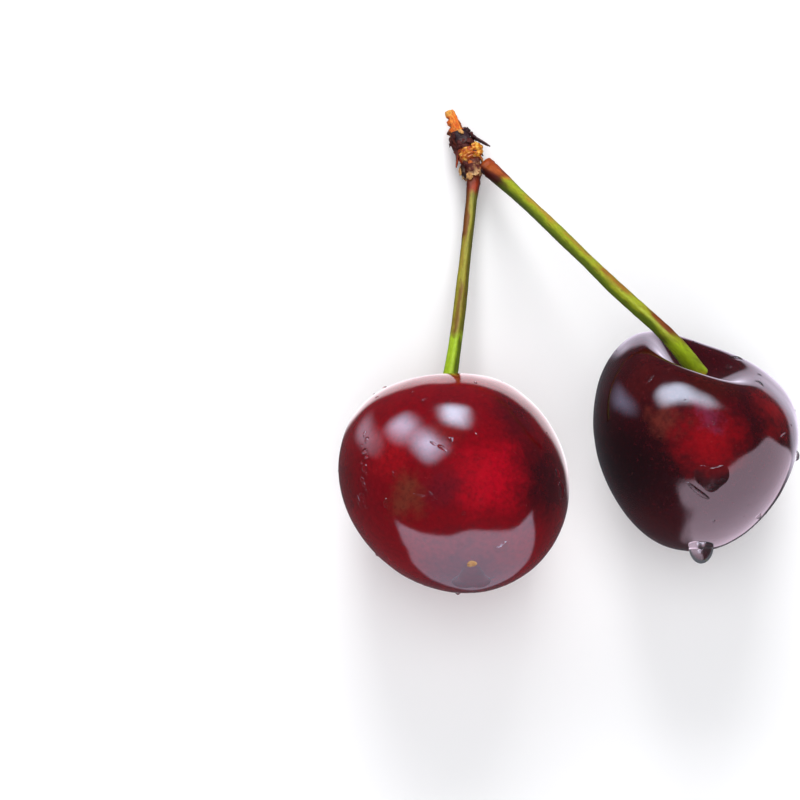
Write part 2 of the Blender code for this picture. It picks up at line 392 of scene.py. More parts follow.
def grow_skin(node):
    fruit = FRUITS[node]
    ball = blown_up_cube(SKIN_CUTS)
    points = on_fruit(np.array([vertex.co for vertex in ball.verts]), fruit)
    mesh = bpy.data.meshes.new(node + "_skin")
    for vertex, point in zip(ball.verts, points):
        place = Vector(point)
        where = place / WAVE_LENGTH + Vector((fruit["seed"],) * 3)
        swell = noise.fractal(where, WAVE_ROUGHNESS, 2.0, WAVE_SIZES)
        vertex.co = (place + place.normalized() * swell * fruit["waves"]) * MM
    ball.to_mesh(mesh)
    ball.free()
    mesh.shade_smooth()
    skin = bpy.data.objects.new(node + "_skin", mesh)
    bpy.context.scene.collection.objects.link(skin)
    mirrored_by[node].objects.link(skin)
    mirrored_by[node.replace("cherry", "wet")].objects.link(skin)
    skin.visible_glossy = False
    skin.rotation_euler = (math.radians(fruit["pitch"] - 90), 0.0, math.radians(-fruit["heading"]))
    lay_over(skin, node)
    # The fruit's weight presses it flat where it rests, so no point is left below the table.
    down = skin.matrix_world.inverted()
    for vertex in mesh.vertices:
        place = skin.matrix_world @ vertex.co
        if place.z < 0:
            vertex.co = down @ Vector((place.x, place.y, 0.0))
    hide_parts(node)
    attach(skin, "root")
    print(f"{skin.name}: {len(mesh.polygons)} faces, {len(mesh.vertices)} points")
    return skin


skins = {node: grow_skin(node) for node in FRUITS}

# %% [markdown]
# ## Finding a place on a fruit
#
# Drops and colour patches are easiest to place the way we look at the fruit: so many millimetres to the
# right of its middle and so many up. A ray sent down from above tells where that lands on the skin and
# which way the skin faces there.

# %% Places on the skin
MIDDLES = {node: sum(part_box(node), Vector()) / 2 for node in FRUITS}
RAY_START = 0.06


def surface_of(skin):
    """The skin as a tree that answers where a ray lands, in world metres."""
    points = [skin.matrix_world @ vertex.co for vertex in skin.data.vertices]
    return BVHTree.FromPolygons(points, [tuple(face.vertices) for face in skin.data.polygons])


surfaces = {node: surface_of(skin) for node, skin in skins.items()}


def seen_at(node, right, up):
    """The point and normal of the skin that many millimetres right of and above the fruit's middle."""
    aim = MIDDLES[node] + Vector((right * MM, 0.0, 0.0)) + view_up * up * MM
    point, normal, _, _ = surfaces[node].ray_cast(aim + towards_camera * RAY_START, -towards_camera)
    return point, normal


for node in FRUITS:
    print(node, "middle of the skin, in mm:", [round(value / MM, 2) for value in seen_at(node, 0, 0)[0]])

# %% [markdown]
# ## Cherry skin as a material
#
# Cherry skin is a thin, tight membrane with a layer of natural wax, over dark flesh. The wax is smooth and
# mirrors the room; the colour lies underneath and isn't even: purple, olive and brown blotches, and pressed
# places turn brown. Some patches are painted light and shade instead: a brighter crimson where the light
# falls, and painted shade, down to nearly black, at the edges, on the lower part and on the side towards the
# other fruit. It could be painted by hand, but patches with a soft, noisy edge round a few chosen places look
# the same and stay editable. Fine mottling and pale breathing pores (lenticels) a few tenths of a millimetre
# across come on top. A little light enters and comes out again nearby, which is what the subsurface part
# does.

# %% The skin's colours
# Each patch: millimetres right and up from the middle, radius, share, colour. Later ones cover earlier ones.
# Some patches are the skin's own colour, others are painted light and shade, as marked below.
PATCHES_AND_PAINTED_SHADING = {
    "left_cherry": [
        # Painted shade: the darker lower part of the fruit.
        (1.5, -10.5, 8.5, 0.85, "#3E0212"),
        # Painted shade: the dark right side and upper right, towards the other fruit.
        (10.5, 1.0, 8.0, 0.95, "#2C0108"),
        (7.0, 8.5, 5.5, 0.85, "#3C040E"),
        # Painted shade at the left edge.
        (-12.5, 0.0, 4.5, 0.6, "#5E0006"),
        (-0.5, 10.0, 4.5, 0.5, "#5A0A14"),
        # Painted light: a brighter crimson at the upper left and in the middle, where the light falls.
        (-7.5, 4.0, 4.5, 0.7, "#9A0A14"),
        (4.0, 1.0, 6.5, 0.95, "#A80018"),
        (-5.5, -1.0, 4.0, 0.6, "#6A3824"),
        (-1.5, 0.0, 3.5, 0.75, "#5E0C1A"),
        (-1.5, 6.0, 3.0, 0.4, "#70241E"),
    ],
    "right_cherry": [
        # Painted shade: nearly black on the side towards the other fruit.
        (-8.5, -3.5, 9.5, 0.95, "#150003"),
        # Painted shade: the darker lower part of the fruit.
        (4.0, -8.5, 8.0, 0.8, "#2A0210"),
        (-6.5, 7.0, 5.0, 0.6, "#481010"),
        (0.5, 7.0, 5.0, 0.65, "#431008"),
        # Painted light: a brighter crimson in the middle, where the light falls.
        (0.5, 0.0, 6.0, 0.95, "#8C020E"),
        (8.5, 3.5, 4.5, 0.85, "#7E060C"),
        (0.5, 2.5, 2.5, 0.75, "#6A2440"),
        (-4.5, 2.5, 3.0, 0.7, "#6E2A20"),
    ],
}
SKIN_COLOURS = {"left_cherry": "#74000C", "right_cherry": "#320208"}
# The inner share of a patch that is whole. Then how far its edge wanders, in lumps of which size, and the
# size of the gaps that break it up, in millimetres.
PATCH_CORE = 0.15
PATCH_WANDER, PATCH_LUMP, PATCH_BREAK = 6.5, 2.5, 0.9


def patched_and_painted_shading(tree, node, place):
    """The skin's ground colour under its patches and painted shading, and the wandering place they follow."""
    lumps = {"Scale": 1 / (PATCH_LUMP * MM), "Detail": 5.0, "Roughness": 0.65}
    ragged = add(tree, "TexNoise", lumps, {"Vector": place}).outputs["Color"]
    offset = add(tree, "VectorMath", {"operation": "SUBTRACT", 1: (0.5, 0.5, 0.5)}, {0: ragged})
    warp = add(tree, "VectorMath", {"operation": "SCALE", "Scale": PATCH_WANDER * MM}, {0: offset})
    warped = add(tree, "VectorMath", {"operation": "ADD"}, {0: place, 1: warp})
    gaps = {"Scale": 1 / (PATCH_BREAK * MM), "Detail": 3.0, "Roughness": 0.6}
    broken = add(tree, "TexNoise", gaps, {"Vector": place})
    kept_share = add(tree, "MapRange", {"From Min": 0.35, "From Max": 0.6, "To Min": 0.9}, {"Value": broken})

    ground, tint = colour(SKIN_COLOURS[node]), None
    to_fruit = skins[node].matrix_world.inverted()
    for right, up, radius, share, code in PATCHES_AND_PAINTED_SHADING[node]:
        middle = to_fruit @ seen_at(node, right, up)[0]
        away = add(tree, "VectorMath", {"operation": "DISTANCE", 1: middle}, {0: warped})
        mask = add(tree, "MapRange", {
            "interpolation_type": "SMOOTHSTEP", "From Min": radius * PATCH_CORE * MM, "From Max": radius * MM,
            "To Min": share, "To Max": 0.0,
        }, {"Value": away.outputs["Value"]})
        mask = add(tree, "Math", {"operation": "MULTIPLY"}, {0: mask, 1: kept_share})
        links = {"Factor": mask, "A": tint} if tint else {"Factor": mask}
        tint = add(tree, "Mix", {"data_type": "RGBA", "A": ground, "B": colour(code)}, links)
    return tint, warped


print("patches:", {node: len(patches) for node, patches in PATCHES_AND_PAINTED_SHADING.items()})

# %% Waxed skin
# Wax is close to glass in how it bends light. Sizes in millimetres.
MOTTLE_SIZE, PORE_SPACING, PORE_SIZE, GRAIN_SIZE = 0.55, 1.3, 0.13, 0.35
WAX_ROUGHNESS, WAX_IOR = 0.085, 1.48
SKIN_FINISHES = {"left_cherry": "waxed_crimson_cherry_skin", "right_cherry": "waxed_maroon_cherry_skin"}


def cherry_skin(name, node):
    material, tree = new_material(name)
    place = add(tree, "TexCoord", {}).outputs["Object"]
    tint, warped = patched_and_painted_shading(tree, node, place)
    specks = {"Scale": 1 / (MOTTLE_SIZE * MM), "Detail": 5.0, "Roughness": 0.65}
    mottle = add(tree, "TexNoise", specks, {"Vector": place})
    spread = {"Scale": 1 / (PORE_SPACING * MM), "Randomness": 0.95}
    pores = add(tree, "TexVoronoi", spread, {"Vector": warped})
    pore = PORE_SIZE / PORE_SPACING
    # Dark mottling, pale mottling and pores: where each pattern starts and is full, its strength and colour.
    for pattern, start, full, share, code in [
        (mottle, 0.45, 0.75, 0.5, "#22020A"),
        (mottle, 0.42, 0.25, 0.18, "#8A2030"),
        (pores, pore, pore / 3, 0.16, "#A86058"),
    ]:
        reach = {"From Min": start, "From Max": full, "To Max": share}
        mask = add(tree, "MapRange", reach, {"Value": pattern})
        tint = add(tree, "Mix", {"data_type": "RGBA", "B": colour(code)}, {"Factor": mask, "A": tint})

    wax = add(tree, "MapRange", {
        "From Min": 0.3, "From Max": 0.8, "To Min": WAX_ROUGHNESS - 0.02, "To Max": WAX_ROUGHNESS + 0.06,
    }, {"Value": mottle})
    grain = add(tree, "TexNoise", {"Scale": 1 / (GRAIN_SIZE * MM), "Detail": 3.0}, {"Vector": place})
    bump = add(tree, "Bump", {"Strength": 0.12, "Distance": 0.02 * MM}, {"Height": grain})
    shader = add(tree, "BsdfPrincipled", {
        "IOR": WAX_IOR, "Metallic": 0.0, "Subsurface Weight": 0.2, "Subsurface Radius": (1.0, 0.12, 0.12),
        "Subsurface Scale": 1.0 * MM, "Specular IOR Level": 0.6,
    }, {"Base Color": tint, "Roughness": wax, "Normal": bump})
    add(tree, "OutputMaterial", {}, {"Surface": shader})
    return material


for node, name in SKIN_FINISHES.items():
    skins[node].data.materials.append(cherry_skin(name, node))
print("skin materials:", ", ".join(SKIN_FINISHES.values()))

# %% [markdown]
# ## A closed skin from rings
#
# Stalks, bud scales, torn bark and drops of water are all the same kind of body to a modeller: a row of
# closed rings that swell, bend and shrink to a point at either end. That is called a loft. So one function
# makes them all, and each piece only says where the point at a given share of its length and a given turn
# round it lies. Grown things are never smooth, so a second helper gives each point a little noise.

# %% One loft
def loft(rows, columns, place_points):
    """Points and faces of a closed body. place_points takes shares along it and turns round in radians."""
    share = np.repeat(np.linspace(0, 1, rows), columns)
    turn = np.tile(np.arange(columns) * 2 * math.pi / columns, rows)
    points = place_points(share, turn)
    ends = [points[:columns].mean(0), points[-columns:].mean(0)]
    faces = []
    for row in range(rows - 1):
        for column in range(columns):
            beside = (column + 1) % columns
            faces.append((row * columns + column, row * columns + beside,
                          (row + 1) * columns + beside, (row + 1) * columns + column))
    last = (rows - 1) * columns
    for column in range(columns):
        beside = (column + 1) % columns
        faces.append((beside, column, len(points)))
        faces.append((last + column, last + beside, len(points) + 1))
    return np.vstack([points, ends]), faces


tube = loft(3, 8, lambda share, turn: np.stack([np.cos(turn), np.sin(turn), share], axis=1))
print("a loft of 3 rings of 8 points has", len(tube[0]), "points and", len(tube[1]), "faces")

# %% A piece from lofts
def new_piece(name, bodies, slot, finish, turned=None):
    """One object from several lofted bodies in millimetres, riding on the root."""
    points, faces = [], []
    for body_points, body_faces in bodies:
        start = sum(len(part) for part in points)
        faces += [tuple(corner + start for corner in face) for face in body_faces]
        points.append(body_points)
    mesh = bpy.data.meshes.new(name)
    mesh.from_pydata(np.vstack(points) * MM, [], faces)
    shape = bmesh.new()
    shape.from_mesh(mesh)
    bmesh.ops.recalc_face_normals(shape, faces=shape.faces)
    shape.to_mesh(mesh)
    shape.free()
    mesh.shade_smooth()
    mesh.materials.append(finish)
    piece = bpy.data.objects.new(name, mesh)
    if turned:
        piece.matrix_world = turned
    bpy.context.scene.collection.objects.link(piece)
    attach(piece, "root")
    print(f"{name}: {len(mesh.polygons)} faces")
    return piece


# %% Roughness and paint
def roughness_at(points, size, seed, octaves=3):
    """Noise between about -1 and 1 at each point, with lumps of that size in millimetres."""
    shift = Vector((seed, 2 * seed, 3 * seed))
    return np.array([noise.fractal(Vector(point) / size + shift, 0.7, 2.0, octaves) for point in points])


def paint(piece, name, colours):
    """Stores a linear colour for each point of the piece, which its material can read."""
    layer = piece.data.attributes.new(name, "FLOAT_COLOR", "POINT")
    layer.data.foreach_set("color", np.hstack([colours, np.ones((len(colours), 1))]).ravel())


def tinted(colours, code, mask):
    """Colours with another one laid over them, as strongly as the mask says."""
    over = np.array(colour(code)[:3])
    return colours + (over - colours) * np.clip(mask, 0, 1)[:, None]


def plain(code, count):
    return np.tile(colour(code)[:3], (count, 1))


print("red with half of blue over it:", tinted(plain("#FF0000", 1), "#0000FF", np.array([0.5]))[0])

# %% [markdown]
# ## Water on the skin
#
# The fruit is freshly washed. On wax, water draws together into drops that stand up from the skin with a
# steep edge, and that look darker than the skin round them, because water mirrors less than wax does.
# A flat sticker would never show that, so each drop is a real little lens. It is a loft: rings that grow
# from the top of the drop to its rim and shrink again below it, each laid on the skin under it. Big drops
# get their own outline, and a thick foot where the water has run down.

# %% Clear water
# Clear water: it has no colour, bends what is seen through it, and has a small bright glint.
WATER_IOR = 1.333
RIPPLE_SIZE = 1.5

water, tree = new_material("clear_water")
place = add(tree, "TexCoord", {}).outputs["Object"]
ripple = add(tree, "TexNoise", {"Scale": 1 / (RIPPLE_SIZE * MM), "Detail": 1.0}, {"Vector": place})
swell = add(tree, "Bump", {"Strength": 0.05, "Distance": 0.02 * MM}, {"Height": ripple})
lens = add(tree, "BsdfPrincipled", {
    "Base Color": (1.0, 1.0, 1.0, 1.0), "Transmission Weight": 1.0, "IOR": WATER_IOR, "Roughness": 0.02,
}, {"Normal": swell})
# Water bends part of the light away, so less of it lands on the skin below.
clear = add(tree, "BsdfTransparent", {"Color": colour("#7C6464")})
shadow = add(tree, "LightPath", {}).outputs["Is Shadow Ray"]
seen = add(tree, "MixShader", {}, {"Fac": shadow, 1: lens, 2: clear})
add(tree, "OutputMaterial", {}, {"Surface": seen})
print("water's IOR:", WATER_IOR)

# %% Where the drops are
# Small drops: millimetres right and up from the fruit's middle, half width, half height, turn, rise.
DROPS = {
    "left_cherry": [
        (5.5, -7.0, 1.0, 0.5, 20, 0.5), (-1.5, 4.5, 0.6, 0.3, -40, 0.35), (-2.5, 5.0, 0.4, 0.2, -30, 0.25),
        (-0.5, 5.5, 0.3, 0.4, 15, 0.25), (12.0, 1.5, 0.4, 0.5, 10, 0.35), (12.5, -0.5, 0.6, 1.0, 10, 0.5),
        (-7.0, 1.5, 0.3, 0.4, 35, 0.3), (-11.0, -2.0, 0.9, 0.3, -50, 0.3), (-4.0, -1.0, 0.8, 0.15, -10, 0.15),
        (-2.5, -1.0, 0.7, 0.25, -30, 0.2), (2.5, 6.0, 0.15, 0.35, 5, 0.15), (-3.5, 10.0, 0.5, 0.2, 20, 0.2),
        (1.0, -3.0, 0.25, 0.2, 0, 0.2), (-8.0, -2.0, 0.3, 0.6, 10, 0.25),
    ],
    "right_cherry": [
        (1.5, -9.5, 0.25, 0.2, 0, 0.25), (7.0, 6.5, 0.6, 0.25, -30, 0.35), (5.0, 9.5, 0.8, 0.3, -10, 0.4),
        (4.0, 8.5, 0.5, 0.3, -35, 0.3), (9.5, 0.5, 0.8, 0.15, 40, 0.2), (11.5, -2.0, 0.4, 0.7, -10, 0.5),
        (7.0, -9.0, 0.5, 0.35, 45, 0.4), (-6.0, 7.0, 0.6, 0.15, 45, 0.15), (-0.5, -6.0, 1.6, 0.4, -40, 0.35),
        (1.0, 2.0, 0.25, 0.3, 20, 0.2), (0.5, 1.5, 0.2, 0.25, 0, 0.2),
    ],
}
# A row of tiny drops down the left side of the left fruit, where water has run: how many, then millimetres
# right and up where it starts, the step down from one to the next, how far they stray, their half width and
# how much it swings, and their rise.
TRICKLE_COUNTS = {"left_cherry": 14, "right_cherry": 0}
TRICKLE_START, TRICKLE_STEP, TRICKLE_STRAY = (-10.5, 6.0), 0.65, 0.3
TRICKLE_SIZE, TRICKLE_SWING, TRICKLE_RISE = 0.28, 0.12, 0.22
# Drops with an outline of their own: middle, rise, and radii at turns in degrees, counted from the right.
SHAPED_DROPS = {
    "left_cherry": {
        "bell": ((2.0, -10.5), 1.0, [(0, 1.5), (45, 1.5), (90, 2.5), (135, 1.5), (180, 1.5), (215, 3.0),
                                     (270, 1.6), (325, 3.0)]),
    },
    "right_cherry": {
        "heart": ((1.0, -4.5), 0.5, [(0, 2.0), (45, 2.4), (90, 1.3), (135, 2.4), (180, 2.0), (225, 1.5),
                                     (270, 2.0), (315, 1.5)]),
        "hanging": ((0.5, -12.5), 2.2, [(0, 1.5), (90, 1.0), (180, 1.5), (270, 1.5)]),
    },
}
# The rest are scattered: how many tries and the seed, then least and most half width in millimetres.
SCATTERED = {"left_cherry": (46, 5), "right_cherry": (46, 8)}
SCATTER_SIZES = (0.12, 0.4)
# Each starts so far from the fruit's middle and lands on the nearest skin, but none as low as this.
SCATTER_FROM, SCATTER_LOWEST = 30 * MM, 2 * MM
# A drop whose skin faces the camera at least this squarely gets this share of its size, so that the
# front stays clear.
FRONT_FROM, FRONT_SHARE = 0.4, 0.55
print("drops of their own shape:", {node: list(shapes) for node, shapes in SHAPED_DROPS.items()})

# %% A lens of water
# Rings and points of a drop's loft, the curve of its dome, how far that sags and how deep the rim is sunk.
TINY_LENS, SMALL_LENS, LARGE_LENS = (9, 16), (13, 24), (29, 60)
DOME_POWER, DOME_SAG, RIM_SUNK = 0.6, 0.25, 0.03


def water_lens(node, point, normal, outline, rise, rows, columns):
    """A loft on the skin round that point. outline gives millimetres across and up at a turn."""
    across = (Vector((1.0, 0.0, 0.0)) - normal * normal.x).normalized()
    up = normal.cross(across)

    def place_points(share, turn):
        ring = np.sin(share * math.pi)
        right, high = outline(turn)
        placed = []
        for size, x, y, where in zip(ring, right * ring, high * ring, share):
            near, facing, _, _ = surfaces[node].find_nearest(point + (across * float(x) + up * float(y)) * MM)
            sag = 1 - DOME_SAG * y / (abs(y) + 1)
            dome = rise * (1 - size**2) ** DOME_POWER * sag if where < 0.5 else 0.0
            placed.append(near / MM + facing * (dome - RIM_SUNK))
        return np.array(placed)

    return loft(rows, columns, place_points)


print("points in a tiny and a large drop:", [a * b + 2 for a, b in (TINY_LENS, LARGE_LENS)])

# %% Outlines of drops
# How much an oval's edge wavers, twice and three times round, and how far round a corner is smoothed.
OVAL_WAVERS = (0.13, 0.08)
SMOOTHING = math.radians(9)


def oval(half_width, half_height, turned, seed):
    """An outline: an oval with a wavering edge, turned by some degrees."""
    tilt = math.radians(turned)

    def outline(turn):
        waver = 1 + OVAL_WAVERS[0] * np.sin(2 * turn + seed) + OVAL_WAVERS[1] * np.sin(3 * turn + 2.3 * seed)
        x, y = half_width * np.cos(turn) * waver, half_height * np.sin(turn) * waver
        return x * math.cos(tilt) - y * math.sin(tilt), x * math.sin(tilt) + y * math.cos(tilt)

    return outline


def through(corners):
    """An outline: a smooth closed curve through radii at given turns."""
    turns, radii = zip(*corners)

    def outline(turn):
        beside = [turn, turn - SMOOTHING, turn + SMOOTHING]
        smooth = sum(np.interp(place, np.radians(turns), radii, period=2 * math.pi) for place in beside) / 3
        return smooth * np.cos(turn), smooth * np.sin(turn)

    return outline


bell = through(SHAPED_DROPS["left_cherry"]["bell"][2])(np.linspace(0, 2 * math.pi, LARGE_LENS[1]))
print("width and height of the bell, in mm:", [round(float(np.ptp(side)), 1) for side in bell])

# %% Wetting the fruits
def small_drops(node):
    for number, (right, up, half_width, half_height, turned, rise) in enumerate(DROPS[node]):
        outline = oval(half_width, half_height, turned, number)
        yield water_lens(node, *seen_at(node, right, up), outline, rise, *SMALL_LENS)


def trickle(node):
    for number in range(TRICKLE_COUNTS[node]):
        right = TRICKLE_START[0] + TRICKLE_STRAY * math.sin(2.1 * number)
        up = TRICKLE_START[1] - TRICKLE_STEP * number
        size = TRICKLE_SIZE + TRICKLE_SWING * math.sin(2.4 * number)
        outline = oval(size, size * 1.3, 25 * number, number)
        yield water_lens(node, *seen_at(node, right, up), outline, TRICKLE_RISE, *TINY_LENS)


def shaped_drops(node):
    for (right, up), rise, corners in SHAPED_DROPS[node].values():
        yield water_lens(node, *seen_at(node, right, up), through(corners), rise, *LARGE_LENS)


def scattered_drops(node):
    count, seed = SCATTERED[node]
    chance = np.random.default_rng(seed)
    for number in range(count):
        way = chance.normal(size=3)
        size = SCATTER_SIZES[0] + (SCATTER_SIZES[1] - SCATTER_SIZES[0]) * chance.random() ** 3
        outside = MIDDLES[node] + Vector(way).normalized() * SCATTER_FROM
        point, normal, _, _ = surfaces[node].find_nearest(outside)
        if point.z > SCATTER_LOWEST:
            size *= FRONT_SHARE if normal.dot(towards_camera) > FRONT_FROM else 1.0
            outline = oval(size, size * 1.2, 40 * number, number)
            yield water_lens(node, point, normal, outline, 0.8 * size, *TINY_LENS)


for node in FRUITS:
    bodies = [*small_drops(node), *trickle(node), *shaped_drops(node), *scattered_drops(node)]
    drops = new_piece(node.split("_")[0] + "_water_drops", bodies, None, water)
    drops.visible_glossy = False
    mirrored_by[node.replace("cherry", "wet")].objects.link(drops)

# %% [markdown]
# ## The scar of the flower
#
# Opposite the stalk every cherry has a tiny corky dot, where the style of the flower fell off. It is flat,
# dry and pale, and about a millimetre across. The same loft makes it, only lower and drier.

# %% Dry cork
# Dry cork is pale, rough and crumbly, so it hardly shines. The crumbs' size is in millimetres.
CORK_CRUMB = 0.22

cork, tree = new_material("dry_corky_scar")
place = add(tree, "TexCoord", {}).outputs["Object"]
crumbs = add(tree, "TexNoise", {"Scale": 1 / (CORK_CRUMB * MM), "Detail": 4.0}, {"Vector": place})
crumb_tint = add(tree, "ValToRGB", {}, {"Fac": crumbs})
crumb_tint.color_ramp.elements[0].color = colour("#8A5530")
crumb_tint.color_ramp.elements[1].color = colour("#E8BC86")
crumb_bump = add(tree, "Bump", {"Strength": 0.4, "Distance": 0.05 * MM}, {"Height": crumbs})
dry = add(tree, "BsdfPrincipled", {"Roughness": 0.85}, {"Base Color": crumb_tint, "Normal": crumb_bump})
add(tree, "OutputMaterial", {}, {"Surface": dry})
print("crumbs of", CORK_CRUMB, "mm")

# %% The style scars
# On the left fruit it shows, so many millimetres right of and above the middle. On the right one it is
# at the very tip, which the camera doesn't see.
LEFT_SCAR = (2.0, -9.0)
SCAR_SIZE, SCAR_RISE = 0.55, 0.12
SCAR_LENS = (9, 28)


def corky_scar(node):
    if node == "left_cherry":
        point, normal = seen_at(node, *LEFT_SCAR)
    else:
        tip = Vector(on_fruit(TIP, FRUITS[node])[0]) * MM
        point, normal, _, _ = surfaces[node].find_nearest(skins[node].matrix_world @ tip)
    body = water_lens(node, point, normal, oval(SCAR_SIZE, SCAR_SIZE, 0, 1.0), SCAR_RISE, *SCAR_LENS)
    new_piece(node.split("_")[0] + "_style_scar", [body], node.split("_")[0] + "_skin", cork)


for node in FRUITS:
    corky_scar(node)

# %% [markdown]
# ## The stalks
#
# A cherry stalk is a tough green cord, a little ribbed, which swells where it joins the fruit and again
# where it joins the spur. It follows the plain solid's route, only straighter at its foot. Rings round that
# route give the ribs and the knobbly collar at the spur. Its colours run along it, so they are worked out
# here, point by point: green where it is young, russet and brown where sun and wind have marked it, and
# painted shading, with a lighter stripe on the lit side as a painted highlight and a darker edge as painted
# shade.

# %% Where the stalks go
# Each stalk stands in its fruit's hollow, and from there passes the points of its way to the spur, in
# millimetres. Widths are given at shares of its length. It ends a little past its last point, in the spur.
STALKS = {
    "left_stalk": {
        "way": [(-14.0, -4.0, 8.0), (-13.0, 3.0, 6.5), (-12.0, 12.0, 4.0), (-11.0, 21.0, 2.5)],
        "widths": [(0.0, 2.2), (0.1, 1.8), (0.3, 1.6), (0.6, 1.4), (0.9, 1.3), (1.0, 1.8)],
        "past_the_end": 1.4, "seed": 4.0,
    },
    "right_stalk": {
        "way": [(11.5, -0.5, 19.5), (5.5, 5.5, 17.5), (-2.0, 14.5, 10.5), (-6.0, 19.5, 5.5),
                (-9.0, 23.0, 2.5)],
        "widths": [(0.0, 2.2), (0.2, 1.8), (0.5, 1.6), (0.85, 1.6), (1.0, 2.1)],
        "past_the_end": 1.0, "seed": 9.0,
    },
}
print("points on the way:", {node: len(stalk["way"]) for node, stalk in STALKS.items()})

# %% The line of a stalk
# How far above the hollow's bottom a stalk starts, and how far apart its rings are.
FOOT_GAP = 0.4
RING_STEP = 0.16


def smooth_route(points, step):
    """Points about step millimetres apart on a smooth curve through the given points."""
    given = [Vector(point) for point in points]
    ends = [2 * given[0] - given[1], *given, 2 * given[-1] - given[-2]]
    fine = []
    for before, start, end, after in zip(ends, ends[1:], ends[2:], ends[3:]):
        count = max(1, round((end - start).length / step))
        for part in range(count):
            t = part / count
            bend = (2 * before - 5 * start + 4 * end - after) * t * t
            twist = (3 * start - before - 3 * end + after) * t**3
            fine.append((2 * start + (end - before) * t + bend + twist) / 2)
    return [*fine, given[-1]]


def stalk_line(node):
    """The points of a stalk's middle line, from the hollow of its fruit into the spur."""
    fruit = node.replace("stalk", "cherry")
    hollow = on_fruit(TOP, FRUITS[fruit])[0]
    foot = skins[fruit].matrix_world @ (Vector(hollow + (0.0, 0.0, FOOT_GAP)) * MM) / MM
    line = smooth_route([foot, *STALKS[node]["way"]], RING_STEP)
    away = (line[-1] - line[-3]).normalized()
    steps = np.arange(RING_STEP, STALKS[node]["past_the_end"], RING_STEP)
    return np.array(line + [line[-1] + away * step for step in steps])


for node in STALKS:
    print(node, "is about", round(RING_STEP * len(stalk_line(node))), "mm long")

# %% The stalks' colours
# A ground colour, then stains and painted shading: Y from and to, side from -1 (left) to 1 (right) and reach
# to each side, share, colour.
STAINS_AND_PAINTED_SHADING = {
    "left_stalk": ("#8A8420", [
        # Painted highlight: the lighter stripe along the middle. Painted shade: the darker right edge.
        (-10, 24, -0.1, 0.8, 0.75, "#9C942C"), (-10, 24, 0.95, 0.55, 0.8, "#5A5A12"),
        (14.0, 20.5, -0.75, 0.6, 0.9, "#70300E"), (10.0, 14.0, -0.5, 0.3, 0.4, "#8C5A1C"),
        (1.0, 8.0, -0.3, 0.4, 0.8, "#6E3E1A"), (4.0, 11.0, 0.5, 0.25, 0.5, "#6B4A18"),
        # A fresh green foot, with painted shade on its right edge.
        (-10, 1.5, -0.2, 1.4, 0.85, "#A4C81E"), (-10, 1.0, 0.9, 0.6, 0.85, "#4E5A0C"),
        (20.0, 24, 0.0, 2.0, 0.95, "#701408"), (20.0, 21.5, 0.3, 0.5, 0.7, "#A83A18"),
    ]),
    "right_stalk": ("#8A9416", [
        # Painted highlight: the lighter upper right side. Painted shade: the darker lower left side.
        (-6, 24, 0.25, 0.5, 0.7, "#9CA420"), (-6, 24, -0.95, 0.6, 0.85, "#4C600C"),
        (4.5, 8.5, 0.6, 0.3, 0.8, "#95501C"), (5.5, 7.0, 0.0, 0.2, 0.6, "#8A6A1E"),
        (-0.5, 2.5, 0.75, 0.5, 0.95, "#7A2E0E"), (-1.0, 1.0, 0.95, 0.35, 0.9, "#6A3012"),
        # Painted highlight in the stalk's ochre, on its upper right side before the collar.
        (9.5, 13.5, 0.7, 0.3, 0.6, "#A86A22"), (14.5, 18.5, 0.65, 0.35, 0.6, "#B87A2A"),
        (2.5, 4.0, 0.75, 0.25, 0.6, "#8C7A1E"), (-6, -1.5, -0.1, 0.9, 0.8, "#B0CC1A"),
        (-6, -4.5, 0.0, 2.0, 0.85, "#C58A2A"), (21.3, 25, 0.1, 2.0, 0.95, "#9A3414"),
        # The first here is painted shade on the collar's underside.
        (20.4, 25, -0.95, 0.8, 0.95, "#3E0C10"), (21.0, 21.6, 0.5, 0.4, 0.8, "#C8682C"),
        (22.0, 23.0, 0.1, 0.4, 0.7, "#C8682C"), (21.6, 21.9, 0.0, 2.0, 0.9, "#4A120C"),
        (22.5, 22.7, 0.0, 2.0, 0.8, "#5A1A0E"),
    ]),
}
# How softly a stain or painted shading ends, along the stalk in millimetres and round it, and how raggedly.
STAIN_FADE, STAIN_SIDE_FADE = 0.9, 0.35
STAIN_WANDER, STAIN_SIDE_WANDER = 0.5, 0.35


def band(values, low, high, edge):
    """1 between low and high, falling to 0 over edge on either side."""
    return np.clip((values - low) / edge + 0.5, 0, 1) * np.clip((high - values) / edge + 0.5, 0, 1)


def paint_stalk(piece, node, points, flat, side):
    """Lays the stains over the ground colour. flat is the stalk as if it were straight, side -1 to 1."""
    seed = STALKS[node]["seed"]
    where = points[:, 1] + STAIN_WANDER * roughness_at(flat * (1, 1, 0.4), 0.8, seed + 2)
    over = side + STAIN_SIDE_WANDER * roughness_at(flat * (1, 1, 0.3), 0.9, seed + 7)
    ground, stains_and_painted_shading = STAINS_AND_PAINTED_SHADING[node]
    colours = plain(ground, len(points))
    for start, end, middle, reach, share, code in stains_and_painted_shading:
        along_it = band(where, start, end, STAIN_FADE)
        round_it = band(over, middle - reach, middle + reach, STAIN_SIDE_FADE)
        colours = tinted(colours, code, share * (along_it * round_it))
    paint(piece, "stalk_colour", colours)
    layer = piece.data.attributes.new("lengthwise", "FLOAT_VECTOR", "POINT")
    layer.data.foreach_set("vector", flat.ravel())


print("stains:", {node: len(stains_and_painted_shading) for node, (_, stains_and_painted_shading) in STAINS_AND_PAINTED_SHADING.items()})

# %% Growing a stalk
# Ribs, sag and fibres stand out a little all along. The collar is the knobbly end at the spur, and both
# ends close over a short length. Heights of ribs and sag are shares of the radius, the rest millimetres.
RING_POINTS = 30
RIBS, RIB_TWIST = 5, 0.12
RIB_HEIGHT, SAG_HEIGHT, FIBRE_HEIGHT = 0.045, 0.03, 0.025
COLLAR_LENGTH, KNOB_HEIGHT, COLLAR_WAVE = 2.2, 0.13, 0.07
END_LENGTH = 0.25


